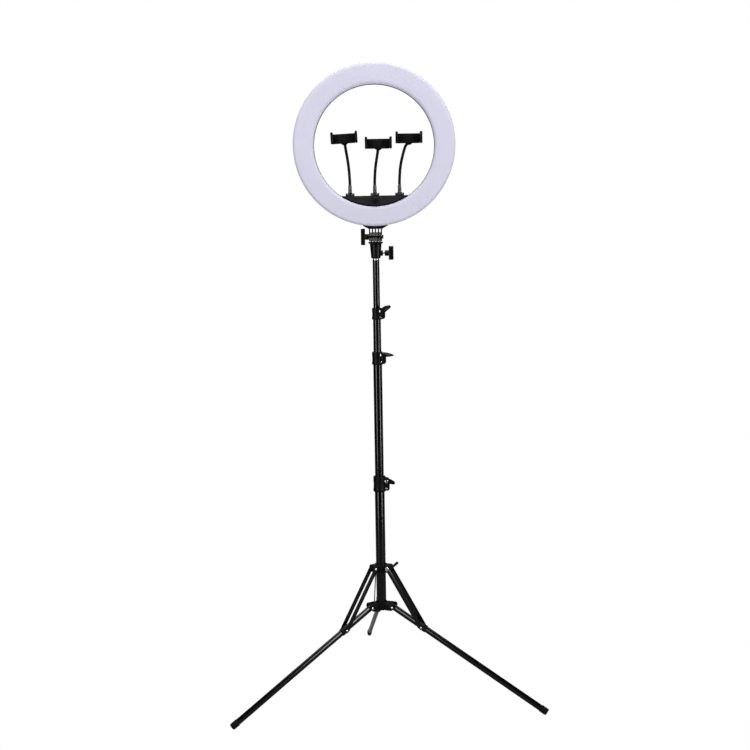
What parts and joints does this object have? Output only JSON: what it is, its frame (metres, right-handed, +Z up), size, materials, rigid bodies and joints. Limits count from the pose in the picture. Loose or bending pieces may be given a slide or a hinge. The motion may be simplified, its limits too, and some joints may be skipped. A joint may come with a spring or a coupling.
{
  "type": "ring light",
  "caption": "Ring light with dimmer and phone clamps on goosenecks inside the ring, on a folding telescopic tripod stand.",
  "frame": {"origin": "on the floor, under the middle of the bounding box", "axes": "+Z up along the mast, -Y the way the ring faces, +X to the right of a viewer in front"},
  "size_m": [0.8822, 0.8008, 1.803],
  "materials": {
    "gloss_black_paint": "gloss black paint on aluminium",
    "black_plastic": "satin",
    "panel_plastic": "satin",
    "diffuser": "milky, faint lavender",
    "rubber": "matte",
    "gunmetal": "satin grey",
    "bright_steel": "bright zinc",
    "circuit_board": "white solder mask"
  },
  "bodies": {
    "stand_base": {"base_tube": "gloss_black_paint", "lower_lock_body": "black_plastic", "lower_lock_bolt": "bright_steel", "leg_hub": "black_plastic"},
    "mast_2": {"tube_2": "gloss_black_paint", "middle_lock_body": "black_plastic", "middle_lock_bolt": "bright_steel"},
    "mast_3": {"tube_3": "gloss_black_paint", "upper_lock_body": "black_plastic", "upper_lock_bolt": "bright_steel"},
    "mast_4": {"tube_4": "gloss_black_paint", "spigot": "bright_steel"},
    "lower_lever": {"lower_lock_lever": "black_plastic"},
    "middle_lever": {"middle_lock_lever": "black_plastic"},
    "upper_lever": {"upper_lock_lever": "black_plastic"},
    "collar": {"slide_collar": "black_plastic"},
    "collar_clamp": {"collar_knob": "black_plastic"},
    "socket": {"stand_socket": "black_plastic", "tilt_bolt": "bright_steel"},
    "socket_clamp": {"socket_knob": "black_plastic"},
    "tilt_clamp": {"tilt_knob": "black_plastic"},
    "head": {"rear_housing": "black_plastic", "front_diffuser": "diffuser", "led_board": "circuit_board", "control_panel": "panel_plastic", "panel_cover": "black_plastic", "power_inlet": "black_plastic", "driver_board": "circuit_board", "ring_bracket": "black_plastic", "shoe_left": "black_plastic", "shoe_middle": "black_plastic", "shoe_right": "black_plastic"},
    "dimmer": {"dimmer_knob": "black_plastic"},
    "holder_left": {"ferrule_left": "gunmetal", "gooseneck_left": "rubber"},
    "neck_tip_left": {"neck_ball_left": "black_plastic"},
    "clamp_left": {"clamp_body_left": "black_plastic"},
    "jaw_left": {"clamp_jaw_left": "black_plastic"},
    "holder_middle": {"ferrule_middle": "gunmetal", "gooseneck_middle": "rubber"},
    "neck_tip_middle": {"neck_ball_middle": "black_plastic"},
    "clamp_middle": {"clamp_body_middle": "black_plastic"},
    "jaw_middle": {"clamp_jaw_middle": "black_plastic"},
    "holder_right": {"ferrule_right": "gunmetal", "gooseneck_right": "rubber"},
    "neck_tip_right": {"neck_ball_right": "black_plastic"},
    "clamp_right": {"clamp_body_right": "black_plastic"},
    "jaw_right": {"clamp_jaw_right": "black_plastic"},
    "leg_left": {"leg_left": "gloss_black_paint", "leg_bracket_left": "black_plastic", "foot_left": "rubber"},
    "strut_left": {"strut_left": "gloss_black_paint"},
    "leg_right": {"leg_right": "gloss_black_paint", "leg_bracket_right": "black_plastic", "foot_right": "rubber"},
    "strut_right": {"strut_right": "gloss_black_paint"},
    "leg_back": {"leg_back": "gloss_black_paint", "leg_bracket_back": "black_plastic", "foot_back": "rubber"},
    "strut_back": {"strut_back": "gloss_black_paint"}
  },
  "joints": [
    {"name": "tripod_fold", "type": "hinge", "parent": "stand_base", "child": "leg_left", "pos_m": [-0.05214, -0.12966, 0.255], "axis": [-0.5678, 0.8231, 0], "range_deg": [0, 112.1]},
    {"name": "leg_right_fold", "type": "hinge", "parent": "stand_base", "child": "leg_right", "pos_m": [0.01519, -0.12424, 0.255], "axis": [-0.4289, -0.9033, 0], "range_deg": [0, 112.3]},
    {"name": "leg_back_fold", "type": "hinge", "parent": "stand_base", "child": "leg_back", "pos_m": [-0.02317, -0.06864, 0.255], "axis": [0.9968, 0.0802, 0], "range_deg": [0, 112.3]},
    {"name": "collar_slide", "type": "slide", "parent": "stand_base", "child": "collar", "axis": [0, 0, 1], "range_m": [0, 0.1802]},
    {"name": "strut_left_swing", "type": "hinge", "parent": "collar", "child": "strut_left", "pos_m": [-0.04144, -0.12227, 0.37], "axis": [0.5678, -0.8231, 0], "range_deg": [0, 25.67]},
    {"name": "strut_right_swing", "type": "hinge", "parent": "collar", "child": "strut_right", "pos_m": [0.00345, -0.11866, 0.37], "axis": [0.4289, 0.9033, 0], "range_deg": [0, 25.67]},
    {"name": "strut_back_swing", "type": "hinge", "parent": "collar", "child": "strut_back", "pos_m": [-0.02212, -0.08159, 0.37], "axis": [-0.9968, -0.0802, 0], "range_deg": [0, 25.67]},
    {"name": "collar_clamp_turn", "type": "hinge", "parent": "collar", "child": "collar_clamp", "pos_m": [0.0038, -0.09483, 0.365], "axis": [0.8829, 0.4695, 0], "continuous": true},
    {"name": "mast_2_slide", "type": "slide", "parent": "stand_base", "child": "mast_2", "axis": [0, 0, 1], "range_m": [-0.315, 0]},
    {"name": "mast_3_slide", "type": "slide", "parent": "mast_2", "child": "mast_3", "axis": [0, 0, 1], "range_m": [-0.085, 0.225]},
    {"name": "mast_4_slide", "type": "slide", "parent": "mast_3", "child": "mast_4", "axis": [0, 0, 1], "range_m": [-0.13, 0.205]},
    {"name": "lower_lever_flip", "type": "hinge", "parent": "stand_base", "child": "lower_lever", "pos_m": [-0.00054, -0.10751, 0.6249], "axis": [0, -1, 0], "range_deg": [-11, 70]},
    {"name": "middle_lever_flip", "type": "hinge", "parent": "mast_2", "child": "middle_lever", "pos_m": [-0.0053, -0.11783, 0.9904], "axis": [-0.5736, -0.8192, 0], "range_deg": [-33, 57]},
    {"name": "upper_lever_flip", "type": "hinge", "parent": "mast_3", "child": "upper_lever", "pos_m": [-0.0057, -0.11755, 1.115], "axis": [-0.5736, -0.8192, 0], "range_deg": [-57, 33]},
    {"name": "head_pan", "type": "hinge", "parent": "mast_4", "child": "socket", "pos_m": [-0.02004, -0.10751, 1.277], "axis": [0, 0, 1], "continuous": true},
    {"name": "socket_clamp_turn", "type": "hinge", "parent": "socket", "child": "socket_clamp", "pos_m": [0.00496, -0.10751, 1.277], "axis": [1, 0, 0], "continuous": true},
    {"name": "tilt_clamp_turn", "type": "hinge", "parent": "socket", "child": "tilt_clamp", "pos_m": [-0.03904, -0.10751, 1.3227], "axis": [1, 0, 0], "continuous": true},
    {"name": "ring_tilt", "type": "hinge", "parent": "socket", "child": "head", "pos_m": [-0.02004, -0.10751, 1.3227], "axis": [1, 0, 0], "range_deg": [-90, 90]},
    {"name": "dimmer_turn", "type": "hinge", "parent": "head", "child": "dimmer", "pos_m": [-0.02004, -0.12451, 1.4225], "axis": [0, -1, 0], "range_deg": [-135, 135]},
    {"name": "holder_left_swivel", "type": "hinge", "parent": "head", "child": "holder_left", "pos_m": [-0.08904, -0.10751, 1.452], "axis": [0, 0, 1], "range_deg": [-40, 40]},
    {"name": "neck_left_bend", "type": "hinge", "parent": "holder_left", "child": "neck_tip_left", "pos_m": [-0.09244, -0.10251, 1.522], "axis": [1, 0, 0], "range_deg": [-35, 35], "deforming": ["gooseneck_left"]},
    {"name": "clamp_left_turn", "type": "hinge", "parent": "neck_tip_left", "child": "clamp_left", "pos_m": [-0.10234, -0.10751, 1.5884], "axis": [0, 1, 0], "range_deg": [-90, 90]},
    {"name": "jaw_left_slide", "type": "slide", "parent": "clamp_left", "child": "jaw_left", "axis": [0.9988, 0, 0.0489], "range_m": [0, 0.018], "stiffness_N_per_m": 300, "springref_m": -0.02},
    {"name": "holder_middle_swivel", "type": "hinge", "parent": "head", "child": "holder_middle", "pos_m": [-0.02004, -0.10751, 1.452], "axis": [0, 0, 1], "range_deg": [-12, 12]},
    {"name": "neck_middle_bend", "type": "hinge", "parent": "holder_middle", "child": "neck_tip_middle", "pos_m": [-0.01744, -0.11251, 1.514], "axis": [1, 0, 0], "range_deg": [-35, 35], "deforming": ["gooseneck_middle"]},
    {"name": "clamp_middle_turn", "type": "hinge", "parent": "neck_tip_middle", "child": "clamp_middle", "pos_m": [-0.00854, -0.14551, 1.5727], "axis": [0, 1, 0], "range_deg": [-90, 90]},
    {"name": "jaw_middle_slide", "type": "slide", "parent": "clamp_middle", "child": "jaw_middle", "axis": [1, 0, 0], "range_m": [0, 0.018], "stiffness_N_per_m": 300, "springref_m": -0.02},
    {"name": "holder_right_swivel", "type": "hinge", "parent": "head", "child": "holder_right", "pos_m": [0.04896, -0.10751, 1.452], "axis": [0, 0, 1], "range_deg": [-40, 40]},
    {"name": "neck_right_bend", "type": "hinge", "parent": "holder_right", "child": "neck_tip_right", "pos_m": [0.05296, -0.10251, 1.52], "axis": [1, 0, 0], "range_deg": [-35, 35], "deforming": ["gooseneck_right"]},
    {"name": "clamp_right_turn", "type": "hinge", "parent": "neck_tip_right", "child": "clamp_right", "pos_m": [0.07626, -0.10751, 1.5865], "axis": [0, 1, 0], "range_deg": [-90, 90]},
    {"name": "jaw_right_slide", "type": "slide", "parent": "clamp_right", "child": "jaw_right", "axis": [1, 0, 0], "range_m": [0, 0.018], "stiffness_N_per_m": 300, "springref_m": -0.02}
  ],
  "couplings": [
    {"joint": "leg_right_fold", "follows": "tripod_fold", "ratio": 1},
    {"joint": "leg_back_fold", "follows": "tripod_fold", "ratio": 1},
    {"joint": "collar_slide", "follows": "tripod_fold", "m_per_rad": 0.09184},
    {"joint": "strut_left_swing", "follows": "tripod_fold", "ratio": 0.22636},
    {"joint": "strut_right_swing", "follows": "tripod_fold", "ratio": 0.22636},
    {"joint": "strut_back_swing", "follows": "tripod_fold", "ratio": 0.22636}
  ]
}
